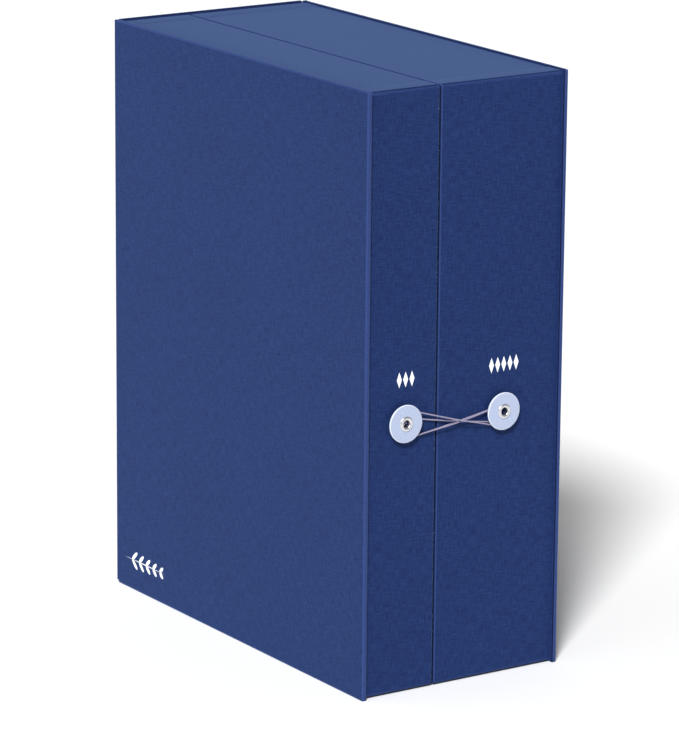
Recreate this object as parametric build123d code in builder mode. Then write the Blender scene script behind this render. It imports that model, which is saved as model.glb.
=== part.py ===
"""Book-style archival box: two cloth-covered trays that close face to face between two covers and a spine.

The box stands upright. +X runs across the closed box, from the shallow tray to the deep one, the fore edge
with its disc-and-elastic closure faces -Y, and the spine is at +Y. Millimetres throughout.
"""

import os
from math import pi, radians, tan

from build123d import *

# ---- driving dimensions -------------------------------------------------------------------------------
BOX_WIDTH = 127.0  # across both covers
BOX_DEPTH = 254.5  # from the fore edge of the covers to the back of the spine
BOX_HEIGHT = 327.15
BOARD = 3.0  # covers and spine, cloth included
WALL = 2.0  # tray walls, cloth included
LINING = 0.5  # lining paper
FORE_SQUARE = 2.0  # how far the covers stand out past the trays at the fore edge
END_SQUARE = 0.7  # the same at the top and bottom
SEAM = 0.9  # gap between the two trays' mouths
SPINE_ROOM = 0.55  # between the trays and the spine's lining
LINING_SIDE_GAP = 2.0  # from the covers to the edges of the spine's lining
LINING_END_GAP = 4.0  # the same at the top and bottom
SHALLOW_TRAY = 43.1  # depth of the left tray, from its cover to its mouth
BOARD_EDGE_ROUND = 0.8

HINGE_BEAD_R = 1.5  # the cloth joint rolled into each rear corner
HINGE_GAP = 0.05

DISC_R = 10.25
DISC_THICK = 1.2
DISC_BEVEL = 0.45
LEFT_DISC = (-38.3, 148.8)  # X and Z of its centre
RIGHT_DISC = (24.6, 146.9)
CORD_GAP = 2.2  # from the tray's face to the back of a disc
SPACER_R = 2.8
BARREL_R = 2.3
EYELET_HOLE_R = 2.0
EYELET_FLANGE_R = 4.1
EYELET_DOME = 0.7
EYELET_CLENCH_R = 3.2
EYELET_CLENCH = 0.5  # height of the turned-over end inside the tray
WASHER_R = 5.0
WASHER_THICK = 0.6
KNOT_R = 1.9
KNOT_ROUND = 0.7
FIT = 0.05

CORD_R = 0.38

DRAWER_BOARD = 1.6
SHELF = 2.0
ROWS = 4
SPLIT_ROWS = (1, 2)  # rows that hold two half-width drawers
DRAWER_RECESS = 3.0  # drawer fronts behind the tray's mouth
DRAWER_PLAY = 1.0
EYELET_ROOM = 2.2  # between the front wall and the drawers beside it, for the eyelet's washer
DRAWER_LIFT = 0.3
DRAWER_BACK_GAP = 1.2
DRAWER_HEADROOM = 2.5
PULL_STANDS = 2.4  # a ribbon pull, folded double: how far it stands out, its width and its height
PULL_WIDTH = 12.0
PULL_HEIGHT = 26.0
PULL_LEVEL = 0.62  # its middle, as a share of the drawer's height
PULL_ROUND = 1.0

FOLDERS = 4
FOLDER_THICK = 2.4
FOLDER_PITCH = 3.6
FOLDER_HEIGHT = 284.0
FOLDER_WIDTH = 234.0
FOLDER_LEAN = 6.0  # degrees, of the folder nearest the mouth
FOLDER_CORNER = 4.0
FOLDER_GAP = 0.8  # between the pocket and the first folder, as it leans
TAB_HEIGHT = 11.0
TAB_WIDTH = 46.0
TAB_INSET = 6.0  # from a folder's edge to its outermost tab
POCKET_HEIGHT = 148.0
POCKET_BOARD = 2.0
POCKET_RECESS = 8.8
POCKET_ROUND = 0.8

# ---- planes worked out from them ----------------------------------------------------------------------
proud = CORD_GAP + DISC_THICK + EYELET_DOME - FORE_SQUARE  # hardware beyond the covers' fore edges
fore_y = -(BOX_DEPTH - proud) / 2  # fore edge of the covers
back_y = fore_y + BOX_DEPTH
cover_in = BOX_WIDTH / 2 - BOARD  # inner face of each cover, either side of X = 0
hinge_x = BOX_WIDTH / 2 - HINGE_BEAD_R
hinge_y = back_y - HINGE_BEAD_R
board_end = HINGE_BEAD_R + HINGE_GAP  # from a hinge axis to the board that starts beside it

tray_fore = fore_y + FORE_SQUARE
spine_in = back_y - BOARD
tray_back = spine_in - LINING - SPINE_ROOM
tray_low = END_SQUARE
tray_high = BOX_HEIGHT - END_SQUARE
left_mouth = -cover_in + SHALLOW_TRAY
right_mouth = left_mouth + SEAM
inside_fore = tray_fore + WALL
inside_back = tray_back - WALL
inside_low = tray_low + WALL
inside_high = tray_high - WALL

os.makedirs("parts", exist_ok=True)


def block(x0, x1, y0, y1, z0, z1):
    """A rectangular block between two corners, added to the part that is open."""
    with Locations(((x0 + x1) / 2, (y0 + y1) / 2, (z0 + z1) / 2)):
        Box(x1 - x0, y1 - y0, z1 - z0)


def save(part, name):
    """Labels a finished piece and writes it to its own file."""
    part.label = name
    export_step(part, f"parts/{name}.step")


# ---- the case: two covers, a spine, its lining, and the cloth joints between them ------------------------
def cover_board(name, x0, x1):
    """A cover board, its long edges softened by the cloth turned over them."""
    with BuildPart() as cover:
        block(x0, x1, fore_y, hinge_y - board_end, 0, BOX_HEIGHT)
        fillet(cover.edges().filter_by(Axis.Z), BOARD_EDGE_ROUND)
    save(cover.part, name)


cover_board("left_cover_board", -BOX_WIDTH / 2, -cover_in)
cover_board("right_cover_board", cover_in, BOX_WIDTH / 2)

with BuildPart() as spine_board:
    block(-hinge_x + board_end, hinge_x - board_end, spine_in, back_y, 0, BOX_HEIGHT)
    fillet(spine_board.edges().filter_by(Axis.Z), BOARD_EDGE_ROUND)
save(spine_board.part, "spine_board")

with BuildPart() as spine_lining:
    lining_x = cover_in - LINING_SIDE_GAP
    block(-lining_x, lining_x, spine_in - LINING, spine_in, LINING_END_GAP, BOX_HEIGHT - LINING_END_GAP)
save(spine_lining.part, "spine_lining")

for side, x in (("left", -hinge_x), ("right", hinge_x)):
    with BuildPart() as hinge_cloth:
        with BuildSketch(Plane.XY.offset(END_SQUARE)):
            with Locations((x, hinge_y)):
                Circle(HINGE_BEAD_R)
        extrude(amount=BOX_HEIGHT - 2 * END_SQUARE)
    save(hinge_cloth.part, f"{side}_hinge_cloth")


# ---- the trays: four cloth-covered walls each, glued to the covers --------------------------------------
def tray_walls(side, x0, x1, disc):
    """The four walls of one tray. The front wall is drilled for the eyelet of its closure disc."""
    with BuildPart() as front_wall:
        block(x0, x1, tray_fore, inside_fore, tray_low, tray_high)
        with Locations(Plane(origin=(disc[0], tray_fore, disc[1]), z_dir=(0, -1, 0))):
            Hole(BARREL_R + FIT, WALL)
    save(front_wall.part, f"{side}_tray_front_wall")
    with BuildPart() as rear_wall:
        block(x0, x1, inside_back, tray_back, tray_low, tray_high)
    save(rear_wall.part, f"{side}_tray_rear_wall")
    with BuildPart() as top_wall:
        block(x0, x1, inside_fore, inside_back, inside_high, tray_high)
    save(top_wall.part, f"{side}_tray_top_wall")
    with BuildPart() as bottom_wall:
        block(x0, x1, inside_fore, inside_back, tray_low, inside_low)
    save(bottom_wall.part, f"{side}_tray_bottom_wall")


tray_walls("left", -cover_in, left_mouth, LEFT_DISC)
tray_walls("right", right_mouth, cover_in, RIGHT_DISC)

with BuildPart() as left_lining:
    block(-cover_in, -cover_in + LINING, inside_fore, inside_back, inside_low, inside_high)
save(left_lining.part, "left_tray_lining")

with BuildPart() as right_lining:
    block(cover_in - LINING, cover_in, inside_fore, inside_back, inside_low, inside_high)
save(right_lining.part, "right_tray_lining")


# ---- closure hardware: disc, spacer, eyelet and backing washer on each tray -----------------------------
def closure(side, centre):
    """A disc held off the tray by a spacer, riveted by an eyelet that closes over a washer inside."""
    axis_plane = Plane(origin=(centre[0], tray_fore, centre[1]), z_dir=(0, -1, 0))
    disc_back = CORD_GAP
    disc_front = CORD_GAP + DISC_THICK
    clench = WALL + WASHER_THICK

    with BuildPart() as disc:
        with BuildSketch(axis_plane.offset(disc_back)):
            Circle(DISC_R)
            Circle(BARREL_R + FIT, mode=Mode.SUBTRACT)
        extrude(amount=DISC_THICK)
        rims = disc.edges().filter_by(GeomType.CIRCLE).sort_by(lambda edge: edge.radius)[-2:]
        chamfer(rims, DISC_BEVEL)
    save(disc.part, f"{side}_closure_disc")

    with BuildPart() as spacer:
        with BuildSketch(axis_plane):
            Circle(SPACER_R)
            Circle(BARREL_R + FIT, mode=Mode.SUBTRACT)
        extrude(amount=CORD_GAP)
    save(spacer.part, f"{side}_disc_spacer")

    with BuildPart() as washer:
        with BuildSketch(axis_plane.offset(-WALL)):
            Circle(WASHER_R)
            Circle(BARREL_R + FIT, mode=Mode.SUBTRACT)
        extrude(amount=-WASHER_THICK)
    save(washer.part, f"{side}_eyelet_washer")

    with BuildPart() as eyelet:
        with BuildSketch(axis_plane.offset(-clench)):
            Circle(BARREL_R)
        extrude(amount=clench + disc_front)
        with BuildSketch(axis_plane.offset(disc_front)):
            Circle(EYELET_FLANGE_R)
        extrude(amount=EYELET_DOME)
        dome = eyelet.edges().filter_by(GeomType.CIRCLE).sort_by(Axis.Y)[0]
        fillet(dome, EYELET_DOME * 0.8)
        with BuildSketch(axis_plane.offset(-clench)):
            Circle(EYELET_CLENCH_R)
        extrude(amount=-EYELET_CLENCH)
        with BuildSketch(axis_plane.offset(-clench - EYELET_CLENCH)):
            Circle(EYELET_HOLE_R)
        extrude(amount=clench + EYELET_CLENCH + disc_front + EYELET_DOME, mode=Mode.SUBTRACT)
    save(eyelet.part, f"{side}_eyelet")


closure("left", LEFT_DISC)
closure("right", RIGHT_DISC)

with BuildPart() as elastic_knot:
    knot_plane = Plane(origin=(LEFT_DISC[0], tray_fore, LEFT_DISC[1]), z_dir=(0, -1, 0))
    with BuildSketch(knot_plane):
        Circle(KNOT_R)
    extrude(amount=CORD_GAP)
    fillet(elastic_knot.edges().filter_by(GeomType.CIRCLE), KNOT_ROUND)
save(elastic_knot.part, "elastic_knot")

# ---- the elastic: wound in a figure of eight behind the discs --------------------------------------------
# Each point is X, distance in front of the trays' face, and Z. It leaves the left spacer, goes round the
# right one, round the left one, round the right one again and back to the left spacer. Strands that cross
# pass over each other in low humps.
elastic_route = [
    (-36.9, 0.6, 151.25),
    (-8.9, 1.7, 146.0),
    (0.1, 1.7, 144.5),
    (27.1, 0.6, 140.0),
    (30.9, 0.6, 145.5),
    (27.1, 0.6, 150.7),
    (13.0, 0.6, 147.4),
    (-38.3, 0.6, 139.2),
    (-44.9, 0.8, 142.0),
    (-46.9, 1.1, 148.8),
    (-44.7, 1.4, 154.5),
    (-38.8, 1.6, 156.5),
    (-28.7, 1.65, 153.4),
    (-7.9, 3.8, 147.2),
    (2.1, 3.8, 144.5),
    (14.2, 1.65, 141.1),
    (25.1, 1.6, 137.8),
    (31.8, 1.6, 142.6),
    (31.1, 1.6, 148.8),
    (26.1, 1.6, 150.9),
    (13.3, 1.65, 147.7),
    (1.1, 2.75, 145.9),
    (-8.9, 2.75, 144.2),
    (-29.7, 1.65, 141.3),
    (-36.5, 1.6, 140.2),
    (-38.8, 1.6, 146.05),
]


def corner_radius(before, corner, after):
    """The largest arc two runs allow at a corner: 0.45 of the shorter, over the tangent of half the turn."""
    turn = (corner - before).get_angle(after - corner)
    return 0.45 * min((corner - before).length, (after - corner).length) / tan(radians(turn / 2))


route = [Vector(x, tray_fore - ahead, z) for x, ahead, z in elastic_route]
radii = [corner_radius(*route[i : i + 3]) for i in range(len(route) - 2)]
print("elastic bend radii", [round(radius, 1) for radius in radii])

with BuildPart() as elastic_cord:
    with BuildLine() as elastic_line:
        FilletPolyline(*route, radius=radii)
    elastic_path = elastic_line.wires()[0]
    with BuildSketch(Plane(origin=elastic_path @ 0, z_dir=elastic_path % 0)):
        Circle(CORD_R)
    sweep(path=elastic_path)
save(elastic_cord.part, "elastic_cord")
elastic_length = elastic_path.length
section = pi * CORD_R**2
print("elastic length", round(elastic_length, 1))
print("elastic volume over section times length", elastic_cord.part.volume / (section * elastic_length))

# ---- the shallow tray's pocket and folders ---------------------------------------------------------------
pocket_out = left_mouth - POCKET_RECESS
with BuildPart() as file_pocket:
    block(pocket_out - POCKET_BOARD, pocket_out, inside_fore, inside_back, inside_low, POCKET_HEIGHT)
    top_edges = file_pocket.edges().filter_by(Axis.Y).group_by(Axis.Z)[-1]
    fillet(top_edges, POCKET_ROUND)
save(file_pocket.part, "file_pocket_panel")

folder_low = inside_low + DRAWER_LIFT
folder_mid_y = (inside_fore + inside_back) / 2
lean_room = (POCKET_HEIGHT - folder_low) * tan(radians(FOLDER_LEAN))
first_folder = pocket_out - POCKET_BOARD - lean_room - FOLDER_GAP  # mouth side of the first folder
tab_step = (FOLDER_WIDTH - TAB_WIDTH - 2 * TAB_INSET) / (FOLDERS - 1)
for i in range(FOLDERS):
    x1 = first_folder - i * FOLDER_PITCH
    x0 = x1 - FOLDER_THICK
    tab_y = folder_mid_y - FOLDER_WIDTH / 2 + TAB_INSET + TAB_WIDTH / 2 + i * tab_step
    with BuildPart() as folder:
        with BuildSketch(Plane.YZ.offset(x0)):
            with Locations((folder_mid_y, folder_low + FOLDER_HEIGHT / 2)):
                RectangleRounded(FOLDER_WIDTH, FOLDER_HEIGHT, FOLDER_CORNER)
            with Locations((tab_y, folder_low + FOLDER_HEIGHT)):
                RectangleRounded(TAB_WIDTH, 2 * TAB_HEIGHT, FOLDER_CORNER)
        extrude(amount=FOLDER_THICK)
    save(folder.part, f"file_folder_{i + 1}")
    print(f"file_folder_{i + 1} pivot", round(x1, 3), round(folder_low, 3))

# ---- the deep tray's shelves, dividers and drawers ---------------------------------------------------------
bay_front = right_mouth + DRAWER_RECESS
bay_back = cover_in - LINING
row_height = (inside_high - inside_low - (ROWS - 1) * SHELF) / ROWS
for i in range(1, ROWS):
    z0 = inside_low + i * row_height + (i - 1) * SHELF
    with BuildPart() as shelf:
        block(bay_front, bay_back, inside_fore, inside_back, z0, z0 + SHELF)
    save(shelf.part, f"drawer_shelf_{i}")

bay_mid = (inside_fore + inside_back) / 2
drawer_back = bay_back - DRAWER_BACK_GAP


def drawer(number, y0, y1, z0, z1):
    """An open-topped card drawer with a ribbon pull folded double on its front."""
    with BuildPart() as tray:
        block(bay_front, drawer_back, y0, y1, z0, z1)
        offset(amount=-DRAWER_BOARD, openings=tray.faces().sort_by(Axis.Z)[-1])
    save(tray.part, f"drawer_{number}")
    pull_y = (y0 + y1) / 2
    pull_z = z0 + (z1 - z0) * PULL_LEVEL
    with BuildPart() as pull:
        with BuildSketch(Plane.XY.offset(pull_z - PULL_HEIGHT / 2)):
            with Locations((bay_front - PULL_STANDS / 2, pull_y)):
                Rectangle(PULL_STANDS, PULL_WIDTH)
        extrude(amount=PULL_HEIGHT)
        fillet(pull.edges().filter_by(Axis.Y).group_by(Axis.X)[0], PULL_ROUND)
    save(pull.part, f"drawer_pull_{number}")
    print(f"drawer_{number}", [round(v, 2) for v in (bay_front, drawer_back, y0, y1, z0, z1)])


number = 0
for row in range(ROWS):
    row_low = inside_low + row * (row_height + SHELF)
    spans = [(inside_fore + EYELET_ROOM, inside_back - DRAWER_PLAY)]
    if row in SPLIT_ROWS:
        with BuildPart() as divider:
            row_high = row_low + row_height
            block(bay_front, bay_back, bay_mid - SHELF / 2, bay_mid + SHELF / 2, row_low, row_high)
        save(divider.part, f"drawer_divider_{SPLIT_ROWS.index(row) + 1}")
        beside_divider = SHELF / 2 + DRAWER_PLAY
        spans = [(spans[0][0], bay_mid - beside_divider), (bay_mid + beside_divider, spans[0][1])]
    for y0, y1 in spans:
        number += 1
        drawer(number, y0, y1, row_low + DRAWER_LIFT, row_low + row_height - DRAWER_HEADROOM)

places = {"hinge_x": hinge_x, "hinge_y": hinge_y, "fore_y": fore_y, "back_y": back_y, "tray_fore": tray_fore,
          "tray_back": tray_back, "left_mouth": left_mouth, "right_mouth": right_mouth,
          "inside_fore": inside_fore, "inside_back": inside_back, "inside_low": inside_low,
          "inside_high": inside_high, "bay_front": bay_front, "bay_back": bay_back, "pocket_out": pocket_out}
for name, value in places.items():
    print(name, round(value, 3))
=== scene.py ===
from math import cos, pi, radians, sin

import bmesh
import bpy
from mathutils import Matrix, Vector
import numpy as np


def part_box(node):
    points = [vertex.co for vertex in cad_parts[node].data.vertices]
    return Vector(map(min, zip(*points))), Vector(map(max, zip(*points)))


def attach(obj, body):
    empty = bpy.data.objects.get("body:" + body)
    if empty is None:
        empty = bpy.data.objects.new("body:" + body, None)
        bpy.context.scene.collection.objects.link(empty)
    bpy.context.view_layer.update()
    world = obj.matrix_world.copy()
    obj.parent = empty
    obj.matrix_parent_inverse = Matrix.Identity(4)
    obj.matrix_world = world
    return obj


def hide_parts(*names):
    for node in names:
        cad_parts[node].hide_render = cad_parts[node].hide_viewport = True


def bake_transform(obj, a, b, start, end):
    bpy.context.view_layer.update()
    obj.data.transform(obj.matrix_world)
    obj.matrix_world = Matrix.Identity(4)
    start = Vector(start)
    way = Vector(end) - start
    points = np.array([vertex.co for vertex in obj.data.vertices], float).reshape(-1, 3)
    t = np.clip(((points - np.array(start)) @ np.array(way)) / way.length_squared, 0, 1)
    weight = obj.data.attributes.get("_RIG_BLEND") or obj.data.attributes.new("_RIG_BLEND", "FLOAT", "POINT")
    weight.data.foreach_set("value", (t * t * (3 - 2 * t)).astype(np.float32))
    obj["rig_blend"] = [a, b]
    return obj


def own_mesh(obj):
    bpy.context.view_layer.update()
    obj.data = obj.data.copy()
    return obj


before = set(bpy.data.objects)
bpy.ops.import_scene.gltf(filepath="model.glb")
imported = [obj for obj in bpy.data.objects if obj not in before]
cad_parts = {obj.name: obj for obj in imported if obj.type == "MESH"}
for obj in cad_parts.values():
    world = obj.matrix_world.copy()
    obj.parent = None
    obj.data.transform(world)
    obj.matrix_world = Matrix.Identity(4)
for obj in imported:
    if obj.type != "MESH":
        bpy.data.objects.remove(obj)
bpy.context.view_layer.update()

# ---- camera ------------------------------------------------------------------------------------------
# A long lens a little above the box, looking at its shallow side and its fore edge.
MM = 0.001
camera_data = bpy.data.cameras.new("camera")
camera_data.lens = 209.2
camera_data.clip_end = 20
camera = bpy.data.objects.new("camera", camera_data)
bpy.context.scene.collection.objects.link(camera)
aim = Vector((5.1, 1.1, 141.7)) * MM
yaw, pitch, roll, distance = radians(-33.64), radians(75.52), radians(0.48), 2.4
turn = Matrix.Rotation(yaw, 4, "Z") @ Matrix.Rotation(pitch, 4, "X") @ Matrix.Rotation(roll, 4, "Z")
camera.matrix_world = Matrix.Translation(aim) @ turn @ Matrix.Translation((0, 0, distance))
bpy.context.scene.camera = camera

# ---- elastic -----------------------------------------------------------------------------------------
# A thin braided elastic, mauve over a rubber core. Its two ends are knotted together in the left disc's
# eyelet, and it is wound in a figure of eight round both discs, each crossing strand lying over the one
# before.
CORD_DIAMETER = 0.76 * MM
tray_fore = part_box("left_tray_front_wall")[0][1]
ELASTIC_ROUTE = [  # X, distance in front of the trays' face, Z, in millimetres
    (-36.9, 0.6, 151.25),
    (-8.9, 1.7, 146.0),
    (0.1, 1.7, 144.5),
    (27.1, 0.6, 140.0),
    (30.9, 0.6, 145.5),
    (27.1, 0.6, 150.7),
    (13.0, 0.6, 147.4),
    (-38.3, 0.6, 139.2),
    (-44.9, 0.8, 142.0),
    (-46.9, 1.1, 148.8),
    (-44.7, 1.4, 154.5),
    (-38.8, 1.6, 156.5),
    (-28.7, 1.65, 153.4),
    (-7.9, 3.8, 147.2),
    (2.1, 3.8, 144.5),
    (14.2, 1.65, 141.1),
    (25.1, 1.6, 137.8),
    (31.8, 1.6, 142.6),
    (31.1, 1.6, 148.8),
    (26.1, 1.6, 150.9),
    (13.3, 1.65, 147.7),
    (1.1, 2.75, 145.9),
    (-8.9, 2.75, 144.2),
    (-29.7, 1.65, 141.3),
    (-36.5, 1.6, 140.2),
    (-38.8, 1.6, 146.05),
]


def nurbs_points(route, resolution):
    """Points along the smooth curve that a route's points control."""
    curve = bpy.data.curves.new("route", "CURVE")
    curve.dimensions = "3D"
    spline = curve.splines.new("NURBS")
    spline.points.add(len(route) - 1)
    for point, place in zip(spline.points, route):
        point.co = (*place, 1)
    spline.order_u = 3
    spline.use_endpoint_u = True
    spline.resolution_u = resolution
    guide = bpy.data.objects.new("route", curve)
    line = bpy.data.meshes.new_from_object(guide)
    points = [vertex.co.copy() for vertex in line.vertices]
    bpy.data.objects.remove(guide)
    bpy.data.meshes.remove(line)
    return points


def tube(name, points, radius, sides=12):
    """A closed round tube along points, with a UV map in metres: round it, then along it."""
    shape = bmesh.new()
    uv = shape.loops.layers.uv.new("UVMap")
    rings, along, side = [], [0.0], None
    girth = 2 * pi * radius
    for i, point in enumerate(points):
        ahead = (points[min(i + 1, len(points) - 1)] - points[max(i - 1, 0)]).normalized()
        if i:
            along.append(along[-1] + (point - points[i - 1]).length)
        if side is None:
            side = ahead.orthogonal().normalized()
        else:
            side = (side - ahead * side.dot(ahead)).normalized()
        across = ahead.cross(side)
        angles = [2 * pi * k / sides for k in range(sides)]
        rings.append([shape.verts.new(point + radius * (cos(a) * side + sin(a) * across)) for a in angles])
    for i in range(len(rings) - 1):
        for k in range(sides):
            nxt = (k + 1) % sides
            face = shape.faces.new((rings[i][k], rings[i][nxt], rings[i + 1][nxt], rings[i + 1][k]))
            face.smooth = True
            marks = ((k, i), (k + 1, i), (k + 1, i + 1), (k, i + 1))
            for loop, (turn_k, ring) in zip(face.loops, marks):
                loop[uv].uv = (girth * turn_k / sides, along[ring])
    shape.faces.new(reversed(rings[0]))
    shape.faces.new(rings[-1])
    mesh = bpy.data.meshes.new(name)
    shape.to_mesh(mesh)
    shape.free()
    piece = bpy.data.objects.new(name, mesh)
    bpy.context.scene.collection.objects.link(piece)
    return piece


def linear(hex_colour):
    """A shader colour from an sRGB hex value."""
    parts = [int(hex_colour[i : i + 2], 16) / 255 for i in (1, 3, 5)]
    return (*[c / 12.92 if c <= 0.04045 else ((c + 0.055) / 1.055) ** 2.4 for c in parts], 1)


def add(tree, kind, sockets=None, **settings):
    """Adds a node, with its settings and with its sockets set to values or linked to other nodes' outputs."""
    node = tree.nodes.new(kind)
    for key, value in settings.items():
        setattr(node, key, value)
    for key, value in (sockets or {}).items():
        if isinstance(value, bpy.types.NodeSocket):
            tree.links.new(value, node.inputs[key])
        else:
            node.inputs[key].default_value = value
    return node


def new_material(name):
    """An empty node material and its tree."""
    material = bpy.data.materials.new(name)
    material.use_nodes = True
    material.node_tree.nodes.clear()
    return material, material.node_tree


def braided_elastic():
    """Polyester braid over rubber: matt, mauve, with crossing yarns that darken between the ribs."""
    material, tree = new_material("braided_elastic")
    yarn = 0.45 * MM  # one yarn's width; the real braid is finer and would not show
    braid_angle = radians(38)
    wave_period = 0.31  # the wave texture's own period, at a scale of 1
    spot = add(tree, "ShaderNodeTexCoord")
    yarns = []
    for angle in (braid_angle, -braid_angle):
        turned = add(tree, "ShaderNodeMapping", {"Vector": spot.outputs["UV"], "Rotation": (0, 0, angle)})
        ridges = {"Vector": turned.outputs[0], "Scale": wave_period / yarn, "Distortion": 0.0}
        yarns.append(add(tree, "ShaderNodeTexWave", ridges).outputs["Fac"])
    both = add(tree, "ShaderNodeMath", {0: yarns[0], 1: yarns[1]}, operation="MULTIPLY")
    shades = {"Factor": both.outputs[0], "A": linear("#6c6480"), "B": linear("#c6c0d8")}
    shade = add(tree, "ShaderNodeMix", shades, data_type="RGBA")
    relief = add(tree, "ShaderNodeBump", {"Height": both.outputs[0], "Strength": 0.5, "Distance": 0.08 * MM})
    surface = {"Base Color": shade.outputs["Result"], "Roughness": 0.6, "Normal": relief.outputs[0]}
    braid = add(tree, "ShaderNodeBsdfPrincipled", {**surface, "Sheen Weight": 0.3})
    add(tree, "ShaderNodeOutputMaterial", {"Surface": braid.outputs[0]})
    return material


elastic_points = [Vector((x * MM, tray_fore - ahead * MM, z * MM)) for x, ahead, z in ELASTIC_ROUTE]
elastic_path = nurbs_points(elastic_points, resolution=10)
elastic = tube("elastic_cord_wound", elastic_path, CORD_DIAMETER / 2)
elastic.data.materials.append(braided_elastic())
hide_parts("elastic_cord")
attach(elastic, "file_half")
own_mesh(elastic)

# Its two ends are tied in one small overhand knot, which sits in the bore of the left eyelet.
KNOT_REACH = 0.42 * MM  # a third of the knot's radius to the middle of the cord
KNOT_STEPS = 60
knot_low, knot_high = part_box("elastic_knot")
knot_middle = (knot_low + knot_high) / 2


def knot_point(t):
    """A point on a trefoil that faces -Y, round the middle of the knot."""
    across = sin(t) + 2 * sin(2 * t)
    up = cos(t) - 2 * cos(2 * t)
    return knot_middle + KNOT_REACH * Vector((across, -1.1 * sin(3 * t), up))


knot_loop = [knot_point(2 * pi * k / KNOT_STEPS) for k in range(KNOT_STEPS + 1)]
knot = tube("elastic_end_knot", knot_loop, CORD_DIAMETER / 2, sides=10)
knot.data.materials.append(elastic.data.materials[0])
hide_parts("elastic_knot")
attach(knot, "file_half")

# ---- covers ------------------------------------------------------------------------------------------
# Two 3 mm binder's boards wrapped in navy book cloth, whose turned-over edges are softly rounded. The cloth
# runs on round the back corners, so a cover's rear edge is left square where the joint carries on from it.
EDGE_ROUND = 1.0 * MM
EDGE_SHARE = 0.45  # the most of a thin board's thickness that one edge's round may take
BOARD_EDGE_HIGHLIGHT_AND_WEAR = 0.7  # how strongly a board's rounded edges are marked, of 1: a painted highlight on the cloth, scuffs on paper-covered board
FORE_EDGE_HIGHLIGHT = 0.8  # painted highlight along the fore edge
GROOVE_PAINTED_SHADE = -0.9  # painted shade in the groove between two boards

# The edge marks go by how far a corner's normal leans off the axes: 0 on a flat face, 0.3 halfway round an
# edge. On the book cloth and the discs they are a painted highlight, and negative marks are painted shade.
FLAT_LEAN = 0.005
EDGE_MARK_LEAN = 0.02  # where it starts
FULL_EDGE_MARK_LEAN = 0.12  # how much more lean makes it full


def start_block(name, low, high):
    """A cube primitive between two corners, alone in the selection, with its place in its mesh."""
    bpy.ops.object.select_all(action="DESELECT")
    middle = [(a + b) / 2 for a, b in zip(low, high)]
    size = [b - a for a, b in zip(low, high)]
    bpy.ops.mesh.primitive_cube_add(size=1, location=middle, scale=size)
    piece = bpy.context.object
    piece.name = piece.data.name = name
    bpy.ops.object.transform_apply(location=True, rotation=True, scale=True)
    return piece


def pick(piece, kind, test):
    """In edit mode, selects only the faces, edges or verts whose middle passes the test."""
    bpy.ops.mesh.select_mode(type={"faces": "FACE", "edges": "EDGE", "verts": "VERT"}[kind])
    bpy.ops.mesh.select_all(action="DESELECT")
    shape = bmesh.from_edit_mesh(piece.data)
    for item in getattr(shape, kind):
        if kind == "verts":
            item.select_set(test(item.co))
        elif kind == "edges":
            a, b = (vertex.co for vertex in item.verts)
            item.select_set(test((a + b) / 2, a - b))
        else:
            item.select_set(test(item.calc_center_median(), item.normal))
    shape.select_flush_mode()
    bmesh.update_edit_mesh(piece.data)


def near(a, b, slack=0.02 * MM):
    """Whether two lengths are the same, to within a hair."""
    return abs(a - b) < slack


def mark_painted_light_and_wear(piece, whole_face=None, edges=1.0, round_about_y=False):
    """In edit mode, stores for each corner of each face how far it lies round an edge, most halfway round: a
    painted highlight on the cloth and the discs, and wear on card and board.

    The function whole_face may give one amount for a face instead, and a negative one is painted shade in a
    groove.
    """
    shape = bmesh.from_edit_mesh(piece.data)
    layer = shape.loops.layers.float.new("painted_light_and_wear")
    shape.normal_update()

    def lean(normal):
        axes = (Vector((normal.x, 0, normal.z)).length, abs(normal.y)) if round_about_y else map(abs, normal)
        return 1 - max(axes)

    for face in shape.faces:
        whole = whole_face(face) if whole_face else None
        flat = lean(face.normal) < FLAT_LEAN
        for loop in face.loops:
            highlight_and_wear = 0 if flat else min(max((lean(loop.vert.normal) - EDGE_MARK_LEAN) / FULL_EDGE_MARK_LEAN, 0), 1)
            loop[layer] = highlight_and_wear * edges if whole is None else whole
    bmesh.update_edit_mesh(piece.data)


def finish_piece(piece, material, body, smooth_angle=35):
    """Smooth shading, a UV map in metres face by face, the material, and the one body the piece rides on."""
    bpy.ops.object.mode_set(mode="OBJECT")
    bpy.ops.object.shade_smooth_by_angle(angle=radians(smooth_angle))
    piece.modifiers.new("flat faces", "WEIGHTED_NORMAL").keep_sharp = True
    bpy.ops.object.modifier_apply(modifier="flat faces")
    bpy.ops.object.mode_set(mode="EDIT")
    bpy.ops.mesh.select_all(action="SELECT")
    bpy.ops.uv.cube_project(cube_size=1, scale_to_bounds=False)
    bpy.ops.object.mode_set(mode="OBJECT")
    piece.data.materials.append(material)
    if body:
        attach(piece, body)
    return piece


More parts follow.
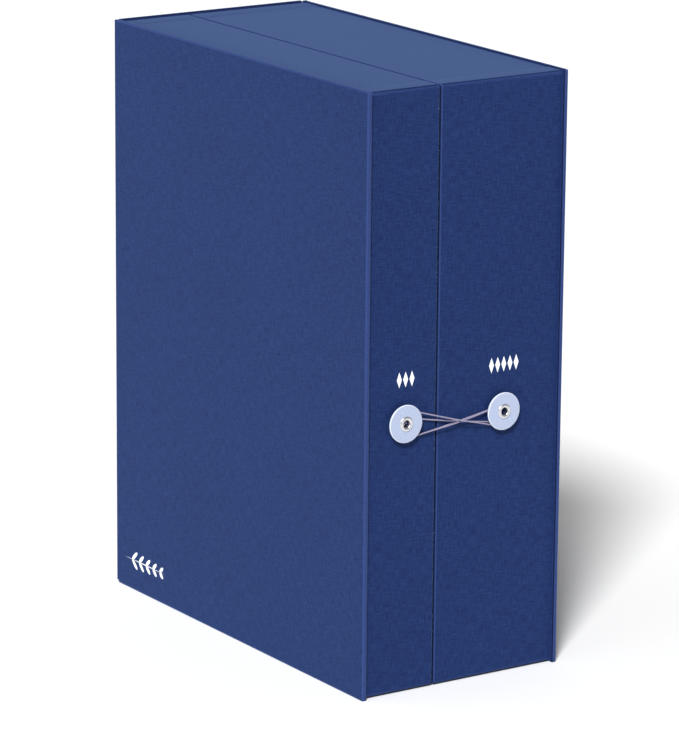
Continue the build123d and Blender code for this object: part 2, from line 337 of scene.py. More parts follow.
def book_cloth():
    """Starch-filled rayon book cloth: navy, matt, plain weave, with slubs, with a painted highlight on its
    rounded edges and painted shade in its grooves.
    """
    material, tree = new_material("navy_book_cloth")
    thread = 0.62 * MM  # the real threads are about 0.4 mm apart, which would not show
    slub = MM / 1.5  # the width of one; it is eight times as long
    faded_patch = 1000 * MM / 14
    uv = add(tree, "ShaderNodeTexCoord")
    place = add(tree, "ShaderNodeSeparateXYZ", {"Vector": uv.outputs["UV"]})
    ribs = []
    for axis, stretch in (("X", (1, 0.12, 1)), ("Y", (0.12, 1, 1))):
        wander = add(tree, "ShaderNodeMapping", {"Vector": uv.outputs["UV"], "Scale": stretch})
        slubby = {"Vector": wander.outputs[0], "Scale": 1 / slub, "Detail": 2.0}
        uneven = add(tree, "ShaderNodeTexNoise", slubby)
        shift = add(tree, "ShaderNodeMath", {0: uneven.outputs["Fac"], 1: 2.4}, operation="MULTIPLY")
        turns = {0: place.outputs[axis], 1: 2 * pi / thread}
        count = add(tree, "ShaderNodeMath", turns, operation="MULTIPLY")
        phase = add(tree, "ShaderNodeMath", {0: count.outputs[0], 1: shift.outputs[0]}, operation="ADD")
        wave = add(tree, "ShaderNodeMath", {0: phase.outputs[0]}, operation="SINE")
        ribs.append((wave, uneven))
    (warp, warp_slub), (weft, weft_slub) = ribs
    weave = add(tree, "ShaderNodeMath", {0: warp.outputs[0], 1: weft.outputs[0]}, operation="MULTIPLY")
    both_slubs = {0: warp_slub.outputs["Fac"], 1: weft_slub.outputs["Fac"]}
    slubs = add(tree, "ShaderNodeMath", both_slubs, operation="ADD")
    raised = {0: weave.outputs[0], 1: 0.07, 2: slubs.outputs[0]}
    height = add(tree, "ShaderNodeMath", raised, operation="MULTIPLY_ADD")
    level = add(tree, "ShaderNodeMapRange", {"Value": height.outputs[0], "From Min": 0.67, "From Max": 1.33})
    clouds = {"Vector": uv.outputs["Object"], "Scale": 1 / faded_patch, "Detail": 3.0}
    cloudy = add(tree, "ShaderNodeTexNoise", clouds)
    tones = {"Factor": level.outputs[0], "A": linear("#14234f"), "B": linear("#213664")}
    tone = add(tree, "ShaderNodeMix", tones, data_type="RGBA")
    patch = add(tree, "ShaderNodeMapRange", {"Value": cloudy.outputs["Fac"], "To Min": 0.94, "To Max": 1.06})
    faded = {"Color": tone.outputs["Result"], "Value": patch.outputs[0]}
    colour = add(tree, "ShaderNodeHueSaturation", faded)
    painted_light_and_wear = add(tree, "ShaderNodeAttribute", attribute_name="painted_light_and_wear")
    # Painted highlight: paler where light catches the rounded edges.
    bloom = add(tree, "ShaderNodeMapRange", {"Value": painted_light_and_wear.outputs["Fac"], "To Max": 0.75})
    paler = {"Factor": bloom.outputs[0], "A": colour.outputs[0], "B": linear("#36477b")}
    highlight_and_wear = add(tree, "ShaderNodeMix", paler, data_type="RGBA")
    # Painted shade: darker in grooves, creases and inside the trays' mouths.
    painted_shade_mix = add(tree, "ShaderNodeMapRange", {"Value": painted_light_and_wear.outputs["Fac"], "From Max": -1.0, "To Max": 0.9})
    darker = {"Factor": painted_shade_mix.outputs[0], "A": highlight_and_wear.outputs["Result"], "B": linear("#060c28")}
    deep = add(tree, "ShaderNodeMix", darker, data_type="RGBA")
    relief = add(tree, "ShaderNodeBump", {"Height": height.outputs[0], "Strength": 0.6, "Distance": 0.1 * MM})
    surface = {"Base Color": deep.outputs["Result"], "Roughness": 0.75, "Normal": relief.outputs[0]}
    cloth = add(tree, "ShaderNodeBsdfPrincipled", surface)
    cloth.inputs["Sheen Weight"].default_value = 0.95
    cloth.inputs["Sheen Roughness"].default_value = 0.3
    cloth.inputs["Sheen Tint"].default_value = linear("#98beff")
    cloth.inputs["Specular IOR Level"].default_value = 0.08
    add(tree, "ShaderNodeOutputMaterial", {"Surface": cloth.outputs[0]})
    return material


cloth = book_cloth()


def wrapped_board(name, low, high, square_edges, body, material, edge_round, whole_face=None):
    """A wrapped board, rounded all over except along the upright edges that a joint carries on from."""
    piece = start_block(name, low, high)
    bpy.ops.object.mode_set(mode="EDIT")

    def rounded(middle, run):
        upright = abs(run.z) > (high[2] - low[2]) / 2
        return not (upright and any(near(middle.x, x) and near(middle.y, y) for x, y in square_edges))

    pick(piece, "edges", rounded)
    most = EDGE_SHARE * min(b - a for a, b in zip(low, high))
    bpy.ops.mesh.bevel(offset=min(edge_round, most), segments=4, profile=0.5, affect="EDGES")
    mark_painted_light_and_wear(piece, whole_face, edges=BOARD_EDGE_HIGHLIGHT_AND_WEAR)
    return finish_piece(piece, material, body)


def fore_edge(inward):
    """A cover's fore edge gets a painted highlight, and the groove beside the tray gets painted shade."""

    def whole_face(face):
        if face.normal.x * inward > 0.3 and (face.normal.y < -0.2 or face.normal.z > 0.2):
            return GROOVE_PAINTED_SHADE
        return FORE_EDGE_HIGHLIGHT if face.normal.y < -0.5 else None

    return whole_face


for side, body, inward in (("left", "file_half", 1), ("right", "drawer_half", -1)):
    low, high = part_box(f"{side}_cover_board")
    outer = low[0] if side == "left" else high[0]
    joint_edge = [(outer, high[1])]
    cover = wrapped_board(
        f"{side}_cover", low, high, joint_edge, body, cloth, EDGE_ROUND, fore_edge(inward))
    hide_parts(f"{side}_cover_board")

# ---- spine -------------------------------------------------------------------------------------------
# The third board, covered by the same piece of cloth, and lined inside with paper.
low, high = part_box("spine_board")
joint_edges = [(low[0], high[1]), (high[0], high[1])]
# Its front top edge, above the trays, gets the groove's painted shade.
spine = wrapped_board(
    "spine", low, high, joint_edges, "spine", cloth, EDGE_ROUND,
    lambda face: GROOVE_PAINTED_SHADE if face.normal.y < -0.3 and face.normal.z > 0.2 else None)
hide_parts("spine_board")

# ---- cloth joints ------------------------------------------------------------------------------------
# At each back corner the cloth alone carries on from cover to spine, round a small roll, and flexes there.
# Its ends are turned in, which draws the corner up into a curve.
JOINT_CLOTH = 0.6 * MM
TURN_IN = 2.6 * MM  # at the foot, where the corner is knocked and has softened
TURN_IN_TOP = 0.12 * MM
JOINT_END_ROUND = 0.2 * MM
BEND_LENGTH = 2.78 * MM  # from the cover's edge to the spine's, across the roll
for side, cover_body, sign in (("left", "file_half", -1), ("right", "drawer_half", 1)):
    low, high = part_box(f"{side}_hinge_cloth")
    axis_x, axis_y = (low[0] + high[0]) / 2, (low[1] + high[1]) / 2
    radius = (high[0] - low[0]) / 2
    cover_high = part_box(f"{side}_cover_board")[1]
    foot, top = low[2], cover_high[2]
    reach = axis_y - cover_high[1]
    outer = axis_x + sign * radius
    inner = outer - sign * JOINT_CLOTH
    piece = start_block(
        f"{side}_joint_cloth",
        (min(outer, inner), cover_high[1], foot),
        (max(outer, inner), axis_y, top),
    )
    bpy.ops.object.mode_set(mode="EDIT")
    pick(piece, "faces", lambda middle, normal: normal.y > 0.9)
    bpy.ops.mesh.spin(steps=8, angle=sign * pi / 2, center=(axis_x, axis_y, 0), axis=(0, 0, 1))
    bpy.ops.mesh.extrude_region_move(TRANSFORM_OT_translate={"value": (-sign * reach, 0, 0)})
    bpy.ops.mesh.select_all(action="SELECT")
    bpy.ops.mesh.remove_doubles(threshold=0.001 * MM)
    bpy.ops.mesh.normals_make_consistent(inside=False)
    pick(piece, "edges", lambda m, run: abs(run.z) < 1e-6 and (near(m.z, foot) or near(m.z, top)))
    bpy.ops.mesh.bevel(offset=JOINT_END_ROUND, segments=2, affect="EDGES")
    shape = bmesh.from_edit_mesh(piece.data)
    for vertex in shape.verts:
        back = max(vertex.co.y - axis_y, 0) / radius  # 0 at the cover, 1 at the back of the spine
        out = min(max(sign * (vertex.co.x - axis_x), 0) / radius, 1)  # 1 on the box's side, 0 inside the roll
        end = 1 if vertex.co.z < (foot + top) / 2 else -1
        turned = TURN_IN if end > 0 else TURN_IN_TOP
        vertex.co.z += end * turned * (back * back + 0.35 * (1 - back)) * (0.25 + 0.75 * out)
    bmesh.update_edit_mesh(piece.data)
    finish_piece(piece, cloth, None)
    start = Vector((axis_x - sign * radius, cover_high[1], 0))
    bend_way = Vector((-sign * 0.45, 0.89, 0))  # backwards, and in towards the middle of the spine
    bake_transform(piece, cover_body, "spine", start=start, end=start + bend_way * BEND_LENGTH)
    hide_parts(f"{side}_hinge_cloth")

# ---- trays -------------------------------------------------------------------------------------------
# Each tray is a frame of four boards wrapped in one strip of the same cloth, which is turned over the
# mouth. The strip laps over itself at the fore and back corners, and creases where it bends over the top.
CORNER_ROUND = 2.0 * MM
MOUTH_ROUND = 0.9 * MM
MOUTH_INNER_ROUND = 0.4 * MM
LAP_FORE = 12.0 * MM  # from the fore corner to the lap's edge
LAP_BACK = 13.0 * MM
LAP_STEP = 0.28 * MM  # the height of the lap, which is one cloth
LAP_RAMP = 0.5 * MM
# Painted highlight on the trays' rounded edges and on the mouths' top and fore sides, and painted shade
# inside the mouths.
TRAY_EDGE_HIGHLIGHT = 0.35
MOUTH_TOP_HIGHLIGHT = 1.0
MOUTH_FORE_HIGHLIGHT = 0.6
MOUTH_INSIDE_SHADE = -0.8
CREASE_DEPTH = 0.4 * MM
CREASE_TURN = radians(60)  # how far round the top corner the crease lies


def cut(piece, place, normal):
    """In edit mode, cuts the whole piece along a plane."""
    bpy.ops.mesh.select_all(action="SELECT")
    bpy.ops.mesh.bisect(plane_co=place, plane_no=normal)


def inner_wall(piece, thickness):
    """Gives an open shell a wall on its inner side, and leaves it in edit mode."""
    bpy.ops.object.mode_set(mode="OBJECT")
    thicken = piece.modifiers.new("wall", "SOLIDIFY")
    thicken.thickness = thickness
    thicken.offset = -1
    thicken.use_even_offset = True
    bpy.ops.object.modifier_apply(modifier="wall")
    bpy.ops.object.mode_set(mode="EDIT")


def tray(side, body, mouth_sign):
    """One tray's four walls, wrapped. The sign says on which side of X its mouth is."""
    front_low, front_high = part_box(f"{side}_tray_front_wall")
    rear_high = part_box(f"{side}_tray_rear_wall")[1]
    low = Vector((front_low[0], front_low[1], front_low[2]))
    high = Vector((front_high[0], rear_high[1], front_high[2]))
    wall = front_high[1] - front_low[1]
    mouth = high.x if mouth_sign > 0 else low.x
    piece = start_block(f"{side}_tray", low, high)
    bpy.ops.object.mode_set(mode="EDIT")
    pick(piece, "faces", lambda middle, normal: abs(normal.x) > 0.9)
    bpy.ops.mesh.delete(type="FACE")
    pick(piece, "edges", lambda middle, run: abs(run.x) > wall)
    bpy.ops.mesh.bevel(offset=CORNER_ROUND, segments=6, profile=0.5, affect="EDGES")
    inner_wall(piece, wall)
    for y in (low.y + wall, high.y - wall):  # the boards meet square inside, where the paper covers them
        for z in (low.z + wall, high.z - wall):
            pick(piece, "verts", lambda v: abs(v.y - y) < wall / 2 and abs(v.z - z) < wall / 2)
            bpy.ops.transform.resize(value=(1, 0, 0), center_override=(0, y, z))
    bpy.ops.mesh.select_all(action="SELECT")
    bpy.ops.mesh.remove_doubles(threshold=0.01 * MM)

    def margin(middle):
        """How far a point lies inside the tray's outer faces."""
        return min(middle.y - low.y, high.y - middle.y, middle.z - low.z, high.z - middle.z)

    def outer_corner(middle):
        beside_y = min(middle.y - low.y, high.y - middle.y)
        beside_z = min(middle.z - low.z, high.z - middle.z)
        return max(beside_y, beside_z) < CORNER_ROUND and min(beside_y, beside_z) < CORNER_ROUND / 2

    def mouth_edge(middle, run):
        return near(middle.x, mouth) and abs(run.x) < 1e-7

    pick(piece, "edges", lambda m, run: mouth_edge(m, run) and (near(margin(m), 0) or outer_corner(m)))
    bpy.ops.mesh.bevel(offset=MOUTH_ROUND, segments=5, profile=0.5, affect="EDGES")
    pick(piece, "edges", lambda m, run: mouth_edge(m, run) and near(margin(m), wall))
    bpy.ops.mesh.bevel(offset=MOUTH_INNER_ROUND, segments=2, affect="EDGES")

    def mouth_light_and_shade(face):
        """Both mouths get a painted highlight on top and painted shade inside, and the deep tray's gets a
        painted highlight in front too.
        """
        middle = face.calc_center_median()
        if abs(middle.x - mouth) > MOUTH_ROUND:
            return None
        if abs(face.normal.x) > 0.8:
            return MOUTH_INSIDE_SHADE
        if face.normal.z > 0.5:
            return MOUTH_TOP_HIGHLIGHT
        return MOUTH_FORE_HIGHLIGHT if face.normal.y < -0.2 and mouth_sign < 0 else 0

    mark_painted_light_and_wear(piece, mouth_light_and_shade, edges=TRAY_EDGE_HIGHLIGHT)
    lap_fore, lap_back = low.y + LAP_FORE, high.y - LAP_BACK
    for y in (lap_fore, lap_fore + LAP_RAMP, lap_back - LAP_RAMP, lap_back):
        cut(piece, (0, y, 0), (0, 1, 0))
    crease_y = low.y + CORNER_ROUND * (1 - cos(CREASE_TURN))
    crease_in = CORNER_ROUND * (1 - sin(CREASE_TURN))
    for z, inward in ((high.z, -1), (low.z, 1)):
        pick(piece, "verts", lambda v: near(v.y, crease_y) and near(v.z, z + inward * crease_in))
        sunk = (0, CREASE_DEPTH * cos(CREASE_TURN), inward * CREASE_DEPTH * sin(CREASE_TURN))
        bpy.ops.transform.translate(value=sunk)
        # The crease's corners get the full painted shade.
        shape = bmesh.from_edit_mesh(piece.data)
        layer = shape.loops.layers.float["painted_light_and_wear"]
        for loop in [loop for vertex in shape.verts if vertex.select for loop in vertex.link_loops]:
            loop[layer] = -1
        bmesh.update_edit_mesh(piece.data)
        pick(piece, "verts", lambda v: abs(v.z - z) < 0.05 * MM
             and lap_fore + 0.9 * LAP_RAMP < v.y < lap_back - 0.9 * LAP_RAMP)
        bpy.ops.transform.translate(value=(0, 0, inward * LAP_STEP))
    finish_piece(piece, cloth, body)
    walls = ("front", "rear", "top", "bottom")
    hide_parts(*[f"{side}_tray_{wall_name}_wall" for wall_name in walls])


tray("left", "file_half", 1)
tray("right", "drawer_half", -1)

# ---- lining papers -----------------------------------------------------------------------------------
# Warm white laid paper, pasted on the inside of both covers and the spine, and round the inside of each
# tray's walls, which it covers up to the cloth turned in over the mouth.
PAPER = 0.2 * MM
PAPER_CORNER = 0.6 * MM
TURNED_IN = {"left": 15.0 * MM, "right": 2.4 * MM}  # the drawers hide how far it goes in the deep tray


def laid_paper():
    """Uncoated laid paper: warm white, matt, with faint laid lines and a few clumps of fibre."""
    material, tree = new_material("laid_lining_paper")
    laid_gap = 1.1 * MM
    fibre_clump = MM / 0.42
    spot = add(tree, "ShaderNodeTexCoord")
    place = add(tree, "ShaderNodeSeparateXYZ", {"Vector": spot.outputs["Object"]})
    laid = add(tree, "ShaderNodeMath", {0: place.outputs["Z"], 1: 2 * pi / laid_gap}, operation="MULTIPLY")
    lines = add(tree, "ShaderNodeMath", {0: laid.outputs[0]}, operation="SINE")
    clumps = {"Vector": spot.outputs["Object"], "Scale": 1 / fibre_clump, "Detail": 6.0}
    fibres = add(tree, "ShaderNodeTexNoise", clumps)
    raised = {0: lines.outputs[0], 1: 0.2, 2: fibres.outputs["Fac"]}
    height = add(tree, "ShaderNodeMath", raised, operation="MULTIPLY_ADD")
    tones = {"Factor": height.outputs[0], "A": linear("#cfc5af"), "B": linear("#e3dbc8")}
    tone = add(tree, "ShaderNodeMix", tones, data_type="RGBA")
    ribbed = {"Height": height.outputs[0], "Strength": 0.25, "Distance": 0.05 * MM}
    relief = add(tree, "ShaderNodeBump", ribbed)
    surface = {"Base Color": tone.outputs["Result"], "Roughness": 0.85, "Normal": relief.outputs[0]}
    paper = add(tree, "ShaderNodeBsdfPrincipled", {**surface, "Specular IOR Level": 0.3})
    add(tree, "ShaderNodeOutputMaterial", {"Surface": paper.outputs[0]})
    return material


paper = laid_paper()


def dress(node, material):
    """Gives a CAD node's own mesh a material."""
    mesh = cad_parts[node].data
    mesh.materials.clear()
    mesh.materials.append(material)


for node in ("left_tray_lining", "right_tray_lining", "spine_lining"):
    dress(node, paper)

for side, body, mouth_sign in (("left", "file_half", 1), ("right", "drawer_half", -1)):
    front_low, front_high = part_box(f"{side}_tray_front_wall")
    rear_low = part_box(f"{side}_tray_rear_wall")[0]
    lining_low, lining_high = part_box(f"{side}_tray_lining")
    if mouth_sign > 0:
        ends = (lining_high[0], front_high[0] - TURNED_IN[side])
    else:
        ends = (front_low[0] + TURNED_IN[side], lining_low[0])
    piece = start_block(
        f"{side}_wall_paper",
        (ends[0], front_high[1], lining_low[2]),
        (ends[1], rear_low[1], lining_high[2]),
    )
    bpy.ops.object.mode_set(mode="EDIT")
    pick(piece, "faces", lambda middle, normal: abs(normal.x) > 0.9)
    bpy.ops.mesh.delete(type="FACE")
    pick(piece, "edges", lambda middle, run: abs(run.x) > PAPER)
    bpy.ops.mesh.bevel(offset=PAPER_CORNER, segments=3, profile=0.5, affect="EDGES")
    inner_wall(piece, PAPER)
    finish_piece(piece, paper, body)

# ---- file pocket -------------------------------------------------------------------------------------
# A cloth-wrapped board across the lower half of the shallow tray, which keeps the folders upright.
POCKET_ROUND = 0.8 * MM
low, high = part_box("file_pocket_panel")
pocket = wrapped_board("file_pocket", low, high, [], "file_half", cloth, POCKET_ROUND)
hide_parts("file_pocket_panel")

# ---- file folders ------------------------------------------------------------------------------------
# Four folders of buff card, each one sheet folded up at the bottom, with an index tab on its rear leaf. The
# tabs step across from folder to folder.
LEAF = 0.5 * MM
FRONT_LEAF_DROP = 14.0 * MM  # from the rear leaf's top to the front leaf's
TAB_WIDTH = 46.0 * MM
TAB_HEIGHT = 11.0 * MM
TAB_INSET = 6.0 * MM
LEAF_CORNER = 4.0 * MM
FOLDERS = 4
FOLD_STEPS = 6  # flats round a fold


def folder_card():
    """Buff kraft card: matt, faintly mottled, with short fibres, and paler where it rounds over the fold and
    the corners.
    """
    material, tree = new_material("buff_folder_card")
    fibre_width = MM / 0.9
    spot = add(tree, "ShaderNodeTexCoord")
    stretched = add(tree, "ShaderNodeMapping", {"Vector": spot.outputs["Object"], "Scale": (1, 0.35, 1)})
    pulp = {"Vector": stretched.outputs[0], "Scale": 1 / fibre_width, "Detail": 5.0}
    fibres = add(tree, "ShaderNodeTexNoise", pulp)
    sharper = {"Value": fibres.outputs["Fac"], "From Min": 0.3, "From Max": 0.7}
    specks = add(tree, "ShaderNodeMapRange", sharper)
    tones = {"Factor": specks.outputs[0], "A": linear("#cbb083"), "B": linear("#dcc69d")}
    tone = add(tree, "ShaderNodeMix", tones, data_type="RGBA")
    painted_light_and_wear = add(tree, "ShaderNodeAttribute", attribute_name="painted_light_and_wear")
    paler = {"Factor": painted_light_and_wear.outputs["Fac"], "A": tone.outputs["Result"], "B": linear("#e6d7b8")}
    highlight_and_wear = add(tree, "ShaderNodeMix", paler, data_type="RGBA")
    raised = {"Height": fibres.outputs["Fac"], "Strength": 0.2, "Distance": 0.05 * MM}
    relief = add(tree, "ShaderNodeBump", raised)
    surface = {"Base Color": highlight_and_wear.outputs["Result"], "Roughness": 0.8, "Normal": relief.outputs[0]}
    card = add(tree, "ShaderNodeBsdfPrincipled", {**surface, "Specular IOR Level": 0.3})
    add(tree, "ShaderNodeOutputMaterial", {"Surface": card.outputs[0]})
    return material


card = folder_card()


for i in range(FOLDERS):
    node = f"file_folder_{i + 1}"
    low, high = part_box(node)
    fold = (high[0] - low[0]) / 2
    axis_x, axis_z = (low[0] + high[0]) / 2, low[2] + fold
    leaf_top = high[2] - TAB_HEIGHT
    piece = start_block(node.replace("file_", "card_"), (high[0] - LEAF, low[1], axis_z),
                        (high[0], high[1], leaf_top - FRONT_LEAF_DROP))
    bpy.ops.object.mode_set(mode="EDIT")
    pick(piece, "faces", lambda middle, normal: normal.z < -0.9)
    bpy.ops.mesh.spin(steps=FOLD_STEPS, angle=-pi, center=(axis_x, 0, axis_z), axis=(0, 1, 0))
    bpy.ops.mesh.extrude_region_move(TRANSFORM_OT_translate={"value": (0, 0, leaf_top - axis_z)})
    bpy.ops.mesh.select_all(action="SELECT")
    bpy.ops.mesh.remove_doubles(threshold=0.001 * MM)
    bpy.ops.mesh.normals_make_consistent(inside=False)
    step = (high[1] - low[1] - TAB_WIDTH - 2 * TAB_INSET) / (FOLDERS - 1)
    tab = low[1] + TAB_INSET + i * step
    leaf_ends, tab_ends = (low[1], high[1]), (tab, tab + TAB_WIDTH)
    for y in tab_ends:
        cut(piece, (0, y, 0), (0, 1, 0))
    pick(piece, "faces", lambda m, normal: near(m.z, leaf_top) and tab < m.y < tab + TAB_WIDTH)
    bpy.ops.mesh.extrude_region_move(TRANSFORM_OT_translate={"value": (0, 0, TAB_HEIGHT)})

    def leaf_corner(middle, run):
        on_tab = middle.z >= high[2] - 0.001 * MM
        top = any(near(middle.z, z) for z in (leaf_top - FRONT_LEAF_DROP, leaf_top, high[2]))
        end = any(near(middle.y, y) for y in (tab_ends if on_tab else leaf_ends))
        return abs(run.x) > LEAF / 2 and top and end

    pick(piece, "edges", leaf_corner)
    bpy.ops.mesh.bevel(offset=LEAF_CORNER, segments=5, profile=0.5, affect="EDGES")
    mark_painted_light_and_wear(piece)
    finish_piece(piece, card, node, smooth_angle=40)
    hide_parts(node)

# ---- drawer shelves and dividers ---------------------------------------------------------------------
# Grey board covered with pale paper, pasted round the front edge. Three shelves make four rows, and a
# divider splits each of the two middle rows.
SHELF_ROUND = 0.6 * MM


def covered_board():
    """Paper-covered grey board: pale warm grey, matt, with a slight pulp mottle and scuffed edges."""
    material, tree = new_material("paper_covered_board")
    pulp_clump = MM / 0.3
    spot = add(tree, "ShaderNodeTexCoord")
    clumps = {"Vector": spot.outputs["Object"], "Scale": 1 / pulp_clump, "Detail": 6.0}
    pulp = add(tree, "ShaderNodeTexNoise", clumps)
    tones = {"Factor": pulp.outputs["Fac"], "A": linear("#c9c3b6"), "B": linear("#ddd8cc")}
    tone = add(tree, "ShaderNodeMix", tones, data_type="RGBA")
    painted_light_and_wear = add(tree, "ShaderNodeAttribute", attribute_name="painted_light_and_wear")
    patchy = {0: painted_light_and_wear.outputs["Fac"], 1: pulp.outputs["Fac"]}
    scuffs = add(tree, "ShaderNodeMath", patchy, operation="MULTIPLY")
    darker = {"Factor": scuffs.outputs[0], "A": tone.outputs["Result"], "B": linear("#a9a294")}
    highlight_and_wear = add(tree, "ShaderNodeMix", darker, data_type="RGBA")
    raised = {"Height": pulp.outputs["Fac"], "Strength": 0.2, "Distance": 0.06 * MM}
    relief = add(tree, "ShaderNodeBump", raised)
    surface = {"Base Color": highlight_and_wear.outputs["Result"], "Roughness": 0.82, "Normal": relief.outputs[0]}
    board = add(tree, "ShaderNodeBsdfPrincipled", {**surface, "Specular IOR Level": 0.3})
    add(tree, "ShaderNodeOutputMaterial", {"Surface": board.outputs[0]})
    return material


shelf_board = covered_board()
for node in ("drawer_shelf_1", "drawer_shelf_2", "drawer_shelf_3", "drawer_divider_1", "drawer_divider_2"):
    low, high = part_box(node)
    name = node.replace("drawer_", "covered_")
    board = wrapped_board(name, low, high, [], "drawer_half", shelf_board, SHELF_ROUND)
    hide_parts(node)

# ---- drawers -----------------------------------------------------------------------------------------
# Six open-topped drawers of folded card, covered outside with the book cloth on the front and blue paper on
# the rest, and with the card's edge rounded over at the rim.
DRAWER_WALL = 1.6 * MM
DRAWER_CORNER = 0.9 * MM
DRAWER_RIM = 0.5 * MM
DRAWERS = 6


def blue_card():
    """Card covered with dyed blue paper: matt, with fine fibres, and paler where it rounds over the rim and
    the corners.
    """
    material, tree = new_material("blue_paper_on_card")
    fibre_clump = MM / 0.7
    spot = add(tree, "ShaderNodeTexCoord")
    clumps = {"Vector": spot.outputs["Object"], "Scale": 1 / fibre_clump, "Detail": 6.0}
    fibres = add(tree, "ShaderNodeTexNoise", clumps)
    tones = {"Factor": fibres.outputs["Fac"], "A": linear("#2c3f74"), "B": linear("#3a4f88")}
    tone = add(tree, "ShaderNodeMix", tones, data_type="RGBA")
    painted_light_and_wear = add(tree, "ShaderNodeAttribute", attribute_name="painted_light_and_wear")
    paler = {"Factor": painted_light_and_wear.outputs["Fac"], "A": tone.outputs["Result"], "B": linear("#5f74ad")}
    highlight_and_wear = add(tree, "ShaderNodeMix", paler, data_type="RGBA")
    raised = {"Height": fibres.outputs["Fac"], "Strength": 0.2, "Distance": 0.05 * MM}
    relief = add(tree, "ShaderNodeBump", raised)
    surface = {"Base Color": highlight_and_wear.outputs["Result"], "Roughness": 0.78, "Normal": relief.outputs[0]}
    dyed = add(tree, "ShaderNodeBsdfPrincipled", {**surface, "Specular IOR Level": 0.3})
    add(tree, "ShaderNodeOutputMaterial", {"Surface": dyed.outputs[0]})
    return material


drawer_card = blue_card()
for number in range(1, DRAWERS + 1):
    node = f"drawer_{number}"
    low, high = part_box(node)
    piece = start_block(f"card_drawer_{number}", low, high)
    bpy.ops.object.mode_set(mode="EDIT")
    pick(piece, "faces", lambda middle, normal: normal.z > 0.9)
    bpy.ops.mesh.delete(type="FACE")
    pick(piece, "edges", lambda middle, run: not near(middle.z, high[2]))
    bpy.ops.mesh.bevel(offset=DRAWER_CORNER, segments=3, profile=0.5, affect="EDGES")
    inner_wall(piece, DRAWER_WALL)
    pick(piece, "faces", lambda middle, normal: normal.z > 0.9 and near(middle.z, high[2]))
    bpy.ops.mesh.region_to_loop()
    bpy.ops.mesh.bevel(offset=DRAWER_RIM, segments=3, profile=0.5, affect="EDGES")
    mark_painted_light_and_wear(piece)
    finish_piece(piece, drawer_card, node)
    piece.data.materials.append(cloth)
    for face in piece.data.polygons:
        if face.normal.x < -0.7 and near(face.center.x, low[0], 0.5 * MM):
            face.material_index = 1
    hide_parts(node)

# ---- drawer pulls ------------------------------------------------------------------------------------
# A loop of grosgrain ribbon on each drawer, both ends pasted through a slit in the front, hanging flat.
RIBBON = 0.45 * MM
LOOP_ROOM = 0.2 * MM  # off the half width of the loop
ENDS_DRAWN_IN = 0.3 * MM


def grosgrain():
    """Grosgrain ribbon: mauve rayon, ribbed across its width, with a soft sheen."""
    material, tree = new_material("grosgrain_ribbon")
    rib_gap = 0.9 * MM
    spot = add(tree, "ShaderNodeTexCoord")
    place = add(tree, "ShaderNodeSeparateXYZ", {"Vector": spot.outputs["Object"]})
    ribs = add(tree, "ShaderNodeMath", {0: place.outputs["Z"], 1: 2 * pi / rib_gap}, operation="MULTIPLY")
    rib = add(tree, "ShaderNodeMath", {0: ribs.outputs[0]}, operation="SINE")
    level = add(tree, "ShaderNodeMapRange", {"Value": rib.outputs[0], "From Min": -1.0, "From Max": 1.0})
    tones = {"Factor": level.outputs[0], "A": linear("#8d97b8"), "B": linear("#bcc5e2")}
    tone = add(tree, "ShaderNodeMix", tones, data_type="RGBA")
    relief = add(tree, "ShaderNodeBump", {"Height": level.outputs[0], "Strength": 0.6, "Distance": 0.15 * MM})
    surface = {"Base Color": tone.outputs["Result"], "Roughness": 0.5, "Normal": relief.outputs[0]}
    ribbon = add(tree, "ShaderNodeBsdfPrincipled", {**surface, "Sheen Weight": 0.2})
    add(tree, "ShaderNodeOutputMaterial", {"Surface": ribbon.outputs[0]})
    return material


ribbon = grosgrain()
for number in range(1, DRAWERS + 1):
    low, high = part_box(f"drawer_pull_{number}")
    fold = (high[0] - low[0]) / 2 - LOOP_ROOM
    axis_x, axis_z = low[0] + fold, low[2] + fold
    upper = high[2] - 2 * fold
    piece = start_block(
        f"ribbon_pull_{number}", (low[0], low[1], axis_z), (low[0] + RIBBON, high[1], upper))
    bpy.ops.object.mode_set(mode="EDIT")
    pick(piece, "faces", lambda middle, normal: normal.z < -0.9)
    bpy.ops.mesh.spin(steps=FOLD_STEPS, angle=pi, center=(axis_x, 0, axis_z), axis=(0, 1, 0))
    bpy.ops.mesh.extrude_region_move(TRANSFORM_OT_translate={"value": (0, 0, upper - axis_z)})
    bpy.ops.mesh.extrude_region_move(TRANSFORM_OT_translate={"value": (ENDS_DRAWN_IN, 0, fold)})
    pick(piece, "faces", lambda m, normal: normal.z > 0.9 and near(m.z, upper) and m.x < axis_x)
    bpy.ops.mesh.spin(steps=FOLD_STEPS, angle=pi / 2, center=(low[0] + 2 * fold, 0, upper), axis=(0, 1, 0))
    bpy.ops.mesh.select_all(action="SELECT")
    bpy.ops.mesh.remove_doubles(threshold=0.001 * MM)
    bpy.ops.mesh.normals_make_consistent(inside=False)
    finish_piece(piece, ribbon, f"drawer_{number}", smooth_angle=50)
    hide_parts(f"drawer_pull_{number}")

# ---- closure discs -----------------------------------------------------------------------------------
# Pressed-fibre discs painted pale periwinkle, with a cut bevel at the rim whose highlight is painted almost
# white. A fibre spacer behind each one leaves room for the elastic.
BORE_R = 2.35 * MM
DISC_RIM = 0.42 * MM
SPACER_RIM = 0.15 * MM


